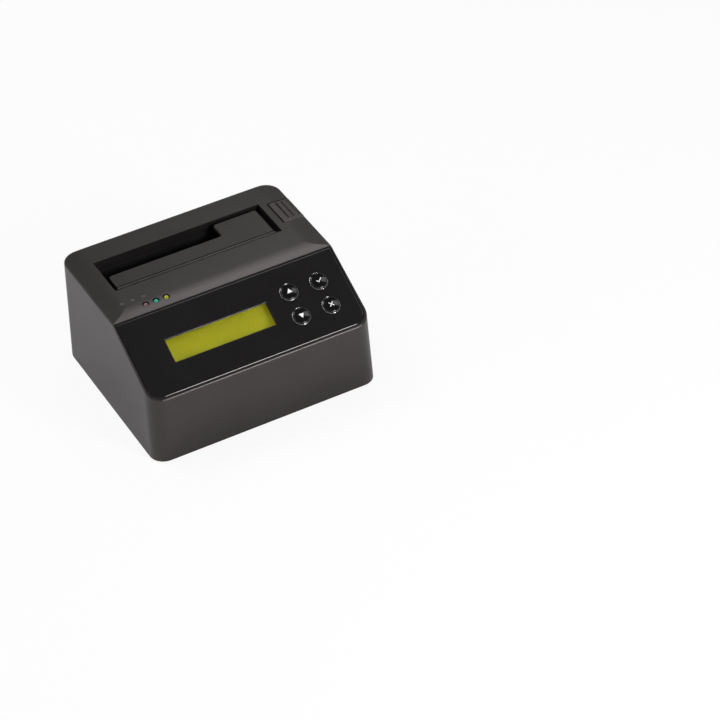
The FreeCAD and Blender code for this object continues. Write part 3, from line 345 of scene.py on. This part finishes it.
# Faint dots by the lights
MARK_XS = (-56.2, -49.7, -42.8)
MARK_Y = -0.4
MARK_RADIUS = 1.25
TOP_Z = 69.0
for index, x in enumerate(MARK_XS):
    spot = Matrix.Translation((x * MM, MARK_Y * MM, TOP_Z * MM))
    print_piece("light_mark_%d" % (index + 1), disc(MARK_RADIUS), spot, "chassis",
                mark_grey)


# Return spring of the eject button

def coil_spring(name, low, high, wire, turns, body, mat, per_turn=28, sides=10):
    """Round wire wound about an upright axis so that it fills a box."""
    middle = (low + high) / 2
    reach = (high.x - low.x - wire) / 2
    climb = high.z - low.z - wire
    form = bmesh.new()
    rows = []
    for step in range(turns * per_turn + 1):
        wound = step / per_turn
        outward = Vector((math.cos(2 * math.pi * wound), math.sin(2 * math.pi * wound), 0))
        centre = outward * reach + Vector((0, 0, low.z + wire / 2 + climb * wound / turns))
        row = []
        for side in range(sides):
            round_wire = 2 * math.pi * side / sides
            offset = outward * math.cos(round_wire) + Vector((0, 0, math.sin(round_wire)))
            row.append(form.verts.new(centre + offset * wire / 2))
        rows.append(row)
    for here, there in zip(rows, rows[1:]):
        for side in range(sides):
            form.faces.new((here[side - 1], here[side], there[side], there[side - 1])).smooth = True
    form.faces.new(rows[0])
    form.faces.new(rows[-1])
    bmesh.ops.recalc_face_normals(form, faces=form.faces)
    return add_piece(name, form, Matrix.Translation((middle.x, middle.y, 0)), body, mat)


SPRING_WIRE = 0.6 * MM
SPRING_TURNS = 5
low, high = (Vector(corner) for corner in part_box("eject_spring"))
spring = coil_spring("return_spring", low, high, SPRING_WIRE, SPRING_TURNS, "chassis", steel)
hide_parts("eject_spring")
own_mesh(spring)


# Floor and sky

FLOOR_HALF = 6.0
FLOOR_DROP = 0.0002
FLOOR_TONE = (0.80, 0.80, 0.80, 1)
FLOOR_SEEN = 0.9
FLOOR_MIRRORED = 0.1
SKY_LIGHT = 0.18
FADE_LOW = 0.18
FADE_HIGH = 0.50
SKY_LOW = 0.9
SKY_HIGH = 0.12


def scaled(tree, socket, share):
    """A socket's value times a number."""
    part = tree.nodes.new("ShaderNodeMath")
    part.operation = "MULTIPLY"
    part.inputs[1].default_value = share
    tree.links.new(socket, part.inputs[0])
    return part.outputs["Value"]


def larger(tree, first, second):
    """The larger of two sockets' values."""
    pick = tree.nodes.new("ShaderNodeMath")
    pick.operation = "MAXIMUM"
    tree.links.new(first, pick.inputs[0])
    tree.links.new(second, pick.inputs[1])
    return pick.outputs["Value"]


def mixed(tree, factor, first, second):
    """Two shaders mixed by a factor."""
    blend = tree.nodes.new("ShaderNodeMixShader")
    tree.links.new(factor, blend.inputs["Fac"])
    tree.links.new(first, blend.inputs[1])
    tree.links.new(second, blend.inputs[2])
    return blend.outputs["Shader"]


def ray_kinds(tree):
    """Whether a ray looks straight at the background, and whether it mirrors or passes to it."""
    path = tree.nodes.new("ShaderNodeLightPath")
    bent = larger(tree, path.outputs["Is Glossy Ray"], path.outputs["Is Transmission Ray"])
    return path.outputs["Is Camera Ray"], bent


# Pale floor that is near white to look at and keeps the shadow
floor_mat, floor_tree, floor_shader = node_tree("floor_pale")
set_sockets(floor_shader, {"Base_Color": FLOOR_TONE, "Roughness": 0.9})
floor_glow = add_node(floor_tree, "ShaderNodeEmission", Strength=1.0)
seen, bent = ray_kinds(floor_tree)
glow_share = larger(floor_tree, scaled(floor_tree, seen, FLOOR_SEEN),
                    scaled(floor_tree, bent, FLOOR_MIRRORED))
floor_look = mixed(floor_tree, glow_share, floor_shader.outputs["BSDF"], floor_glow.outputs["Emission"])
floor_tree.links.new(floor_look, floor_tree.nodes["Material Output"].inputs["Surface"])
floor_mesh = bpy.data.meshes.new("floor")
FLOOR_CORNERS = ((-FLOOR_HALF, -FLOOR_HALF), (FLOOR_HALF, -FLOOR_HALF),
                 (FLOOR_HALF, FLOOR_HALF), (-FLOOR_HALF, FLOOR_HALF))
floor_mesh.from_pydata([(x, y, -FLOOR_DROP) for x, y in FLOOR_CORNERS], [], [(0, 1, 2, 3)])
floor_mesh.materials.append(floor_mat)
floor = bpy.data.objects.new("floor", floor_mesh)
scene.collection.objects.link(floor)

# Sky that is white to look at, dim as a light, and darker overhead in reflections
world = bpy.data.worlds.new("studio")
world.use_nodes = True
scene.world = world
sky = world.node_tree
sky_lit = sky.nodes["Background"]
set_sockets(sky_lit, {"Color": (1, 1, 1, 1), "Strength": SKY_LIGHT})
sky_seen = add_node(sky, "ShaderNodeBackground", Strength=1.0)
sky_mirrored = add_node(sky, "ShaderNodeBackground")
facing = sky.nodes.new("ShaderNodeTexCoord")
split = sky.nodes.new("ShaderNodeSeparateXYZ")
fade = add_node(sky, "ShaderNodeMapRange", From_Min=FADE_LOW, From_Max=FADE_HIGH,
                To_Min=SKY_LOW, To_Max=SKY_HIGH)
fade.interpolation_type = "SMOOTHSTEP"
sky.links.new(facing.outputs["Generated"], split.inputs["Vector"])
sky.links.new(split.outputs["Z"], fade.inputs["Value"])
sky.links.new(fade.outputs["Result"], sky_mirrored.inputs["Strength"])
seen, bent = ray_kinds(sky)
sky_indirect = mixed(sky, bent, sky_lit.outputs["Background"], sky_mirrored.outputs["Background"])
sky_look = mixed(sky, seen, sky_indirect, sky_seen.outputs["Background"])
sky.links.new(sky_look, sky.nodes["World Output"].inputs["Surface"])


# Lights

def soft_light(name, place, target, width, height, power):
    """Rectangular lamp in metres and watts that faces a target."""
    lamp = bpy.data.lights.new(name, "AREA")
    lamp.shape = "RECTANGLE"
    lamp.size = width
    lamp.size_y = height
    lamp.energy = power
    holder = bpy.data.objects.new(name, lamp)
    holder.location = place
    holder.rotation_euler = (Vector(target) - Vector(place)).to_track_quat("-Z", "Y").to_euler()
    scene.collection.objects.link(holder)
    return holder


soft_light("key_light", (-0.55, 0.66, 1.45), (0, 0, 0.03), 0.7, 0.7, 12.5)
soft_light("rim_light", (0.47, 0.68, 1.10), (0, 0, 0.06), 0.40, 0.36, 2.1)
soft_light("left_light", (-1.15, 0.10, 0.62), (0, 0, 0.05), 0.90, 0.12, 3)
soft_light("right_light", (0.82, -0.24, 1.16), (0, 0, 0.05), 0.24, 0.50, 0.7)
soft_light("front_light", (0.34, -0.86, 0.48), (0, -0.06, 0.05), 0.28, 0.46, 8)

# Camera fitted to the photograph; its place is in millimetres from the underside of the base
PICTURE = 720
FOCAL_PIXELS = 2961
SENSOR = 36
FOCAL = FOCAL_PIXELS / PICTURE * SENSOR
AZ, EL, ROLL = math.radians(-26.61), math.radians(39.43), math.radians(-3.35)
SHIFT = Vector((79.4, 2.3, 1697.6))
FOOT_STAND = 1.2
back = Vector((math.sin(AZ) * math.cos(EL), -math.cos(AZ) * math.cos(EL), math.sin(EL)))
right = Vector((math.cos(AZ), math.sin(AZ), 0))
up = back.cross(right)
right, up = right * math.cos(ROLL) + up * math.sin(ROLL), up * math.cos(ROLL) - right * math.sin(ROLL)
lens_data = bpy.data.cameras.new("camera")
lens_data.sensor_fit = "HORIZONTAL"
lens_data.sensor_width = SENSOR
lens_data.lens = FOCAL
camera = bpy.data.objects.new("camera", lens_data)
eye = (right * SHIFT.x + up * SHIFT.y + back * SHIFT.z + Vector((0, 0, FOOT_STAND))) * MM
camera.matrix_world = Matrix.Translation(eye) @ Matrix((right, up, back)).transposed().to_4x4()
scene.collection.objects.link(camera)
scene.camera = camera
scene.view_settings.view_transform = "Standard"
